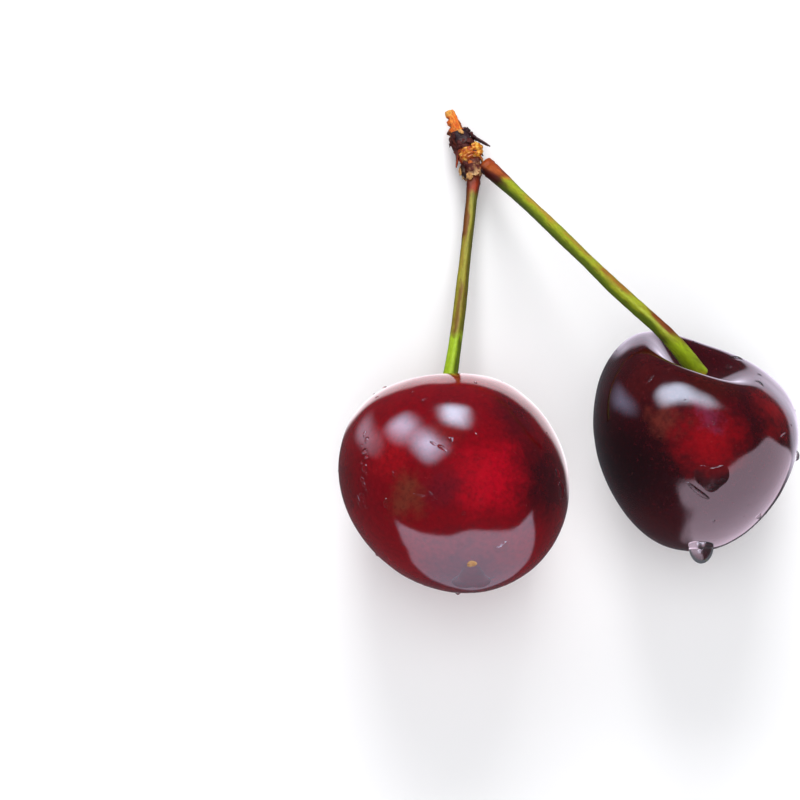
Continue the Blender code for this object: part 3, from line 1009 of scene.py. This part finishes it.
def grow_stalk(node, finish):
    seed = STALKS[node]["seed"]
    line = stalk_line(node)
    tangents = np.gradient(line, axis=0)
    tangents /= np.linalg.norm(tangents, axis=1)[:, None]
    rights = np.cross(tangents, (0.0, 0.0, 1.0))
    rights /= np.linalg.norm(rights, axis=1)[:, None]
    tops = np.cross(rights, tangents)
    lengths = np.concatenate([[0.0], np.cumsum(np.linalg.norm(np.diff(line, axis=0), axis=1))])
    radii = np.interp(lengths / lengths[-1], *zip(*STALKS[node]["widths"])) / 2
    kept = {}

    def place_points(share, turn):
        row = np.round(share * (len(line) - 1)).astype(int)
        length = lengths[row]
        to_spur = lengths[-1] - length
        rib = RIB_HEIGHT * np.cos(RIBS * turn + RIB_TWIST * length + seed)
        sag = SAG_HEIGHT * np.sin(2 * turn + 0.5 * length)
        flat = np.stack([radii[row] * np.cos(turn), radii[row] * np.sin(turn), length], axis=1)
        fibres = FIBRE_HEIGHT * roughness_at(flat * (1, 1, 0.25), 0.35, seed)
        knobs = KNOB_HEIGHT * roughness_at(flat, 0.55, seed + 5)
        waves = COLLAR_WAVE * np.sin(5.5 * length + 1.3 * np.sin(turn))
        collar = np.clip(1 - to_spur / COLLAR_LENGTH, 0, 1)
        radius = radii[row] * (1 + rib + sag) + fibres + collar * (knobs + waves)
        closing = np.minimum(1, np.minimum(length, to_spur) / END_LENGTH + 0.15) ** 0.5
        offset = rights[row] * np.cos(turn)[:, None] + tops[row] * np.sin(turn)[:, None]
        kept.update(flat=flat, side=np.cos(turn))
        return line[row] + offset * (radius * closing)[:, None]

    points, faces = loft(len(line), RING_POINTS, place_points)
    piece = new_piece(node.replace("_stalk", "_green_stalk"), [(points, faces)], "stalk", finish)
    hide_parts(node)
    mirrored_by["stalks_and_spur"].objects.link(piece)
    # The loft's two middle points at its ends take after the first and the last of the rings' points.
    flat = np.vstack([kept["flat"], kept["flat"][:1], kept["flat"][-1:]])
    paint_stalk(piece, node, points, flat, np.append(kept["side"], [0.0, 0.0]))


# %% Green stalk skin
# Living plant skin: satin, with fine ribs along it and small brown flecks where it has been rubbed.
# Sizes in millimetres, and how much they are drawn out along the stalk.
STREAK_WIDTH, FLECK_SIZE, STRETCH = 0.12, 0.35, 0.22

green, tree = new_material("fresh_green_stalk_skin")
place = add(tree, "Attribute", {"attribute_name": "lengthwise"}).outputs["Vector"]
stretched = add(tree, "VectorMath", {"operation": "MULTIPLY", 1: (1.0, 1.0, STRETCH)}, {0: place})
ribs = {"Scale": 1 / STREAK_WIDTH, "Detail": 4.0, "Roughness": 0.6}
streaks = add(tree, "TexNoise", ribs, {"Vector": stretched})
rubbed = {"Scale": 1 / FLECK_SIZE, "Detail": 3.0, "Roughness": 0.7}
flecks = add(tree, "TexNoise", rubbed, {"Vector": stretched})
painted = add(tree, "Attribute", {"attribute_name": "stalk_colour"}).outputs["Color"]
streak = add(tree, "MapRange", {"From Min": 0.35, "From Max": 0.7, "To Max": 0.45}, {"Value": streaks})
deeper = add(tree, "Mix", {"data_type": "RGBA", "blend_type": "MULTIPLY", "B": colour("#8A9A50")},
             {"Factor": streak, "A": painted})
fleck = add(tree, "MapRange", {"From Min": 0.6, "From Max": 0.68, "To Max": 0.55}, {"Value": flecks})
marked = add(tree, "Mix", {"data_type": "RGBA", "B": colour("#5A3210")}, {"Factor": fleck, "A": deeper})
fibre_bump = add(tree, "Bump", {"Strength": 0.35, "Distance": 0.03 * MM}, {"Height": streaks})
satin = add(tree, "MapRange", {"To Min": 0.3, "To Max": 0.5}, {"Value": streaks})
living = add(tree, "BsdfPrincipled", {
    "IOR": 1.45, "Subsurface Weight": 0.12, "Subsurface Radius": (0.5, 0.7, 0.1),
    "Subsurface Scale": 0.5 * MM,
}, {"Base Color": marked, "Roughness": satin, "Normal": fibre_bump})
add(tree, "OutputMaterial", {}, {"Surface": living})

for node in STALKS:
    grow_stalk(node, green)

# %% [markdown]
# ## The spur
#
# The spur is the stub of woody twig that both stalks grow from. When the pair is pulled off, it tears: a
# tongue of fresh orange wood comes away with it at the top. Below that sit the dry, dark bud scales that
# wrapped the flowers, two swollen amber bract bases, and a wrinkled neck with pale crumbs of dead tissue.
# All are lofts round the same bent spine, in the spur's own frame: +Z from the neck to the torn tip, +X to
# the right and -Y up. Noise of a few tenths of a millimetre keeps any of them from looking turned on a lathe.

# %% The spur's frame and spine
SPUR_HEADING = -18.0
SPUR_LENGTH = 9.3
SPINE = [(0.0, 0.15), (1.5, 0.35), (3.5, 0.6), (5.0, 0.35), (6.5, 0.0), (9.3, -0.1)]
STUB_RADIUS = [(0.0, 0.0), (0.05, 0.6), (0.25, 1.0), (0.7, 1.2), (1.6, 1.1), (3.4, 1.35), (4.8, 1.25),
               (6.2, 0.95), (7.6, 0.8), (8.8, 0.6), (9.2, 0.5), (9.3, 0.0)]
TONGUE_START, TONGUE_FLATNESS = 5.6, 0.55
# How far bark and torn fibres stand up, and the wrinkles round the neck, which ends at that height.
BARK_HEIGHT, FIBRE_DEPTH = 0.2, 0.09
WRINKLE_HEIGHT, WRINKLE_SPACING, NECK_TOP = 0.05, 0.52, 2.4
# The torn edge on the left: height, how far it stands out or is bitten in, and over what reach.
TORN_EDGE = [(8.2, -0.3, 0.2), (7.2, -0.3, 0.2), (6.5, 0.3, 0.3)]


def on_spur(azimuth, height, radius, flatness=1.0):
    """Points round the spur's bent spine, in the spur's own frame."""
    spine = np.interp(height, *zip(*SPINE))
    return np.stack([spine + radius * np.cos(azimuth), radius * np.sin(azimuth) * flatness, height], axis=1)


def stub_points(share, azimuth):
    height = SPUR_LENGTH * (1 - np.cos(math.pi * share)) / 2
    radius = np.interp(height, *zip(*STUB_RADIUS))
    radius = radius * (1 + 0.05 * np.sin(3 * azimuth + 1.7 * height) * np.sin(2.3 * height))
    left = np.clip(-np.cos(azimuth), 0, 1) ** 2
    for middle, stands_out, reach in TORN_EDGE:
        radius = radius + stands_out * left * np.exp(-(((height - middle) / reach) ** 2))
    thin = np.clip((height - TONGUE_START) / (SPUR_LENGTH - TONGUE_START), 0, 1)
    flatness = 1 - (1 - TONGUE_FLATNESS) * thin
    smooth = on_spur(azimuth, height, radius, flatness)
    bark = BARK_HEIGHT * roughness_at(smooth, 0.7, 2.0) * (1 - thin)
    fibres = FIBRE_DEPTH * roughness_at(smooth * (1, 1, 0.22), 0.3, 3.0) * thin
    wrinkles = WRINKLE_HEIGHT * np.sin(2 * math.pi * height / WRINKLE_SPACING + 1.5 * np.sin(azimuth))
    relief = bark + fibres + wrinkles * (height < NECK_TOP)
    rough = np.maximum(radius + relief * np.minimum(1, radius / 0.4), 0.0)
    return on_spur(azimuth, height, rough, flatness)


# A coarse stub is enough to measure where its box has to go.
turn_spur = Euler((math.radians(-90), 0.0, math.radians(-SPUR_HEADING))).to_matrix()
turned_stub = loft(60, 24, stub_points)[0] @ np.array(turn_spur).T
stub_low, stub_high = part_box("spur_stub")
spur_place = (stub_low + stub_high) / 2 - Vector((turned_stub.min(0) + turned_stub.max(0)) / 2) * MM
to_world = Matrix.Translation(spur_place) @ turn_spur.to_4x4()
print("the spur starts at, in mm:", [round(value / MM, 2) for value in spur_place])


def spur_piece(name, node, bodies, slot, finish):
    piece = new_piece(name, bodies, slot, finish, to_world)
    if node:
        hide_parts(node)
    mirrored_by["stalks_and_spur"].objects.link(piece)
    return piece


# %% [markdown]
# ## Wood, bark, scales and resin
#
# These four differ mostly in how dry they are. Torn sapwood is fibrous and orange, fading to ochre where
# it has dried. Bark and old scales are nearly black-brown; the small grey-green patch on the spur's dark
# band is a painted highlight. The swollen bract bases are moist and resinous, so they are amber and glossy
# and let a little light in. All of them take their colour from the points, and add their own fibres,
# cracks and bumps.

# %% The spur's materials
def dry_tissue(name, fibre_size, stretch, contrast, dark, roughness, bump, gloss=0.5, glow=0.0):
    """Plant tissue: painted colour, broken up by fibres or cracks of that size in millimetres."""
    material, tree = new_material(name)
    place = add(tree, "TexCoord", {}).outputs["Object"]
    stretched = add(tree, "VectorMath", {"operation": "MULTIPLY", 1: (1.0, 1.0, stretch)}, {0: place})
    fine = {"Scale": 1 / (fibre_size * MM), "Detail": 5.0, "Roughness": 0.65}
    fibres = add(tree, "TexNoise", fine, {"Vector": stretched})
    crack = add(tree, "MapRange", {"From Min": 0.45, "From Max": 0.65, "To Max": contrast}, {"Value": fibres})
    painted = add(tree, "Attribute", {"attribute_name": "painted"}).outputs["Color"]
    tint = add(tree, "Mix", {"data_type": "RGBA", "B": colour(dark)}, {"Factor": crack, "A": painted})
    relief = add(tree, "Bump", {"Strength": bump, "Distance": 0.06 * MM}, {"Height": fibres})
    shine = add(tree, "MapRange", {"To Min": roughness - 0.12, "To Max": roughness + 0.15}, {"Value": fibres})
    shader = add(tree, "BsdfPrincipled", {
        "Specular IOR Level": gloss, "Subsurface Weight": glow, "Subsurface Radius": (1.0, 0.5, 0.15),
        "Subsurface Scale": 0.4 * MM,
    }, {"Base Color": tint, "Roughness": shine, "Normal": relief})
    add(tree, "OutputMaterial", {}, {"Surface": shader})
    return material


torn_wood = dry_tissue("torn_spur_wood_and_bark", 0.14, 0.25, 0.55, "#5A1A08", 0.6, 0.6)
dead_scale = dry_tissue("dried_bud_scale", 0.2, 0.3, 0.5, "#160A0C", 0.5, 0.6)
dead_bract = dry_tissue("dried_bract", 0.2, 0.5, 0.6, "#3A140C", 0.65, 0.6)
resin = dry_tissue("amber_swollen_bract_base", 0.35, 0.8, 0.4, "#8A2E0C", 0.27, 0.25, 0.7, 0.3)
print("spur materials:", ", ".join(finish.name for finish in (torn_wood, dead_scale, dead_bract, resin)))

# %% The torn stub
STUB_ROWS, STUB_COLUMNS = 150, 90


def paint_stub(piece, points):
    """Colours by height on the spur and by which side they are on, both with a ragged edge."""
    rough = roughness_at(points, 0.6, 6.0)
    fine = roughness_at(points * (1, 1, 0.3), 0.25, 8.0)
    height = points[:, 2] + 0.3 * rough
    side = points[:, 0] + 0.12 * rough
    # Each layer: colour, share, height from and to and how softly it ends, and where it shows.
    layers = [
        ("#B0441A", 0.85, (2.2, 4.6, 0.4), fine > -0.35),
        ("#4A0F0E", 0.9, (-1.0, 2.3, 0.5), 1),
        ("#8E5A4E", 0.8, (1.2, 2.4, 0.3), side > 0.2),
        ("#CFA070", 0.9, (0.15, 0.95, 0.2), fine > -0.05),
        ("#2C141C", 0.95, (4.2, 6.0, 0.35), 1),
        # Painted highlight: a small grey-green glint on the dark band.
        ("#A9AC96", 0.7, (4.7, 5.0, 0.2), band(side, -0.4, 0.2, 0.25)),
        ("#D8620E", 0.95, (6.05, 12.0, 0.3), 1),
        ("#E89A34", 0.7, (6.05, 12.0, 0.3), np.clip(3 * fine, 0, 1)),
        ("#DDA046", 0.85, (8.6, 12.0, 0.25), band(side, -2.0, 0.2, 0.3)),
        ("#43120A", 0.95, (8.0, 8.4, 0.2), band(side, -3.0, -0.5, 0.2)),
        ("#43120A", 0.95, (7.0, 7.4, 0.2), band(side, -3.0, -0.5, 0.2)),
        ("#3A1210", 0.9, (6.1, 6.75, 0.2), band(side, -3.0, -0.8, 0.2)),
        ("#5A1E10", 0.75, (6.0, 7.9, 0.4), band(side, 0.62, 3.0, 0.15)),
    ]
    colours = plain("#6E2412", len(points))
    for code, share, reach, shows in layers:
        colours = tinted(colours, code, share * band(height, *reach) * shows)
    paint(piece, "painted", colours)


stub_body = loft(STUB_ROWS, STUB_COLUMNS, stub_points)
paint_stub(spur_piece("torn_spur_stub", "spur_stub", [stub_body], "spur_bark", torn_wood), stub_body[0])

# %% The bud scales and bracts
# Each: node, azimuth, half spread, height and radius at its root and at its tip, body, edge and tip colours.
SCALES = {
    "left_bud_scale": ("scale_left", 178, 46, (5.9, 1.2), (2.2, 1.85), "#6E2C1C", "#241418", "#C04818"),
    "right_bud_scale": ("scale_right", -4, 36, (6.6, 1.15), (3.4, 2.75), "#3A1A24", "#5E3A40", "#6A4A4E"),
    "front_bud_scale": ("scale_front", -88, 52, (6.3, 1.2), (4.6, 1.6), "#24121C", "#3E2028", "#4E3A3A"),
    "back_bud_scale": ("scale_back", 90, 44, (5.8, 1.35), (2.6, 2.0), "#40201C", "#5A3428", "#7A4A30"),
    "front_bract": ("bract_front", -78, 46, (1.9, 1.3), (0.3, 1.5), "#4A1410", "#A87850", "#DDB480"),
    "left_bract": ("bract_left", -170, 38, (2.1, 1.26), (0.45, 1.36), "#3A1412", "#8E8272", "#C8AC84"),
}
print("scales and bracts:", ", ".join(SCALES))

# %% One scale
SCALE_THICKNESS = 0.24
SCALE_ROWS, SCALE_COLUMNS = 48, 40
# How far a scale's edge is torn, and how far its height and its face wander.
EDGE_TEAR, HEIGHT_WANDER, FACE_WANDER = 0.22, 0.12, 0.07


def scale_body(azimuth, spread, root, tip, seed):
    """A pointed, slightly wrinkled leaf round the spine, thick in the middle and thin at its ragged edge."""
    middle, reach = math.radians(azimuth), math.radians(spread)

    def place_points(share, turn):
        along_it = (1 - np.cos(math.pi * share)) / 2
        place = np.stack([6 * along_it, np.cos(turn), 0 * share], axis=1)
        narrowing = np.sqrt(np.maximum(0, 1 - along_it**2.2)) * np.minimum(1, (share / 0.09 + 0.02)) ** 0.5
        across = np.cos(turn) * narrowing * (1 + EDGE_TEAR * roughness_at(place, 0.5, seed) * along_it)
        thick = SCALE_THICKNESS / 2 * np.sin(turn) * narrowing**0.5
        height = root[0] + (tip[0] - root[0]) * along_it
        height = height + HEIGHT_WANDER * roughness_at(place, 1.3, seed + 1) * along_it
        radius = root[1] + (tip[1] - root[1]) * along_it**1.5 + thick
        radius = radius + FACE_WANDER * roughness_at(place * (1, 3, 1), 0.9, seed + 3)
        return on_spur(middle - reach * across, height, radius)

    return loft(SCALE_ROWS, SCALE_COLUMNS, place_points)


for number, (name, (node, azimuth, spread, root, tip, ground, edge, end)) in enumerate(SCALES.items()):
    body = scale_body(azimuth, spread, root, tip, 3.0 + number)
    slot, finish = ("bract", dead_bract) if "bract" in name else ("bud_scale", dead_scale)
    piece = spur_piece(name, node, [body], slot, finish)
    points = body[0]
    dried = 2.2 * roughness_at(points * (1, 1, 0.4), 0.45, 7.0 + number)
    along_it = (points[:, 2] - root[0]) / (tip[0] - root[0]) + 0.12 * roughness_at(points, 0.4, 5.0)
    colours = tinted(plain(ground, len(points)), edge, 0.8 * np.clip(dried, 0, 1))
    colours = tinted(colours, end, 0.9 * np.clip((along_it - 0.6) / 0.3, 0, 1))
    paint(piece, "painted", colours)

# %% The swollen bract bases
# Each: azimuth, half spread, middle and half height, tint. They are grown, so each has its own folds.
PADS = {"pad_right": (-38.0, 37.0, 3.4, 1.0, "#D98E22"), "pad_left": (-104.0, 40.0, 3.2, 0.75, "#C4741A")}
PAD_RADIUS, PAD_HALF_DEPTH, PAD_FOLDS = 1.5, 0.42, 0.15
PAD_ROWS, PAD_COLUMNS = 40, 48


def pad_body(azimuth, spread, height, half_height, seed):
    def place_points(share, turn):
        ring, level = np.sin(math.pi * share), -np.cos(math.pi * share)
        x, y = ring * np.cos(turn), ring * np.sin(turn)
        folds = PAD_FOLDS * roughness_at(np.stack([x, y, 2 * level], axis=1), 0.75, seed)
        swell = 1 + folds
        around = math.radians(azimuth) - math.radians(spread) * x * swell
        return on_spur(around, height + half_height * level * swell, PAD_RADIUS + PAD_HALF_DEPTH * y + folds)

    return loft(PAD_ROWS, PAD_COLUMNS, place_points)


for number, (node, (*form, tint)) in enumerate(PADS.items()):
    body = pad_body(*form, 12.0 + number)
    piece = spur_piece(node.replace("pad", "amber_base"), node, [body], "bract_pad", resin)
    lumps = roughness_at(body[0], 0.5, 20.0 + number)
    colours = tinted(plain(tint, len(body[0])), "#F2C05A", np.clip(2 * lumps, 0, 1))
    paint(piece, "painted", tinted(colours, "#A8420E", 0.9 * np.clip(-2.5 * lumps, 0, 1)))

# %% [markdown]
# ## Crumbs and flakes of bark
#
# Between the larger pieces a real spur is all crumbs: bits of scale, corky flakes, torn fibres. Modelling
# each would be endless, so a loop with a fixed seed sets small flakes on the spur, each a lens tilted its
# own way. They also close the gaps between the pieces, which touch on the real thing.

# %% The flakes
FLAKE_TINTS = ["#A83C14", "#4A1614", "#C8641E", "#2A1218", "#D09A5C", "#8A3A1E"]
FLAKE_COUNT, FLAKE_SEED = 70, 21
FLAKE_LUMPS = 0.4
# Between these heights the spur is nearly black, and so are its flakes.
DARK_FROM, DARK_TO, DARK_TINT = 4.2, 5.9, "#4A1A18"


def flake_body(chance, height, azimuth):
    radius = 1.25 + 0.35 * chance.random()
    middle = on_spur(np.array([azimuth]), np.array([height]), np.array([radius]))[0]
    size = Vector((chance.uniform(0.2, 0.45), chance.uniform(0.08, 0.18), chance.uniform(0.25, 0.6)))
    nod, lean = chance.uniform(-0.5, 0.5), chance.uniform(-0.6, 0.6)
    tilt = Euler((nod, lean, azimuth + math.pi / 2 + chance.uniform(-0.4, 0.4)))
    seed = chance.uniform(0, 50)

    def place_points(share, turn):
        ring, level = np.sin(math.pi * share), -np.cos(math.pi * share)
        ball = np.stack([ring * np.cos(turn), ring * np.sin(turn), level], axis=1)
        ball *= (1 + FLAKE_LUMPS * roughness_at(ball, 0.7, seed))[:, None]
        return (ball * np.array(size)) @ np.array(tilt.to_matrix()).T + middle

    return loft(14, 16, place_points)


chance = np.random.default_rng(FLAKE_SEED)
flakes, tints = [], []
for number in range(FLAKE_COUNT):
    flake = flake_body(chance, chance.uniform(0.3, 6.0), chance.uniform(-math.pi, math.pi))
    flakes.append(flake)
    dark = DARK_FROM < flake[0][:, 2].mean() < DARK_TO
    tints.append(plain(DARK_TINT if dark else FLAKE_TINTS[number % len(FLAKE_TINTS)], len(flake[0])))
paint(spur_piece("bark_flakes", None, flakes, "bud_scale", dead_bract), "painted", np.vstack(tints))
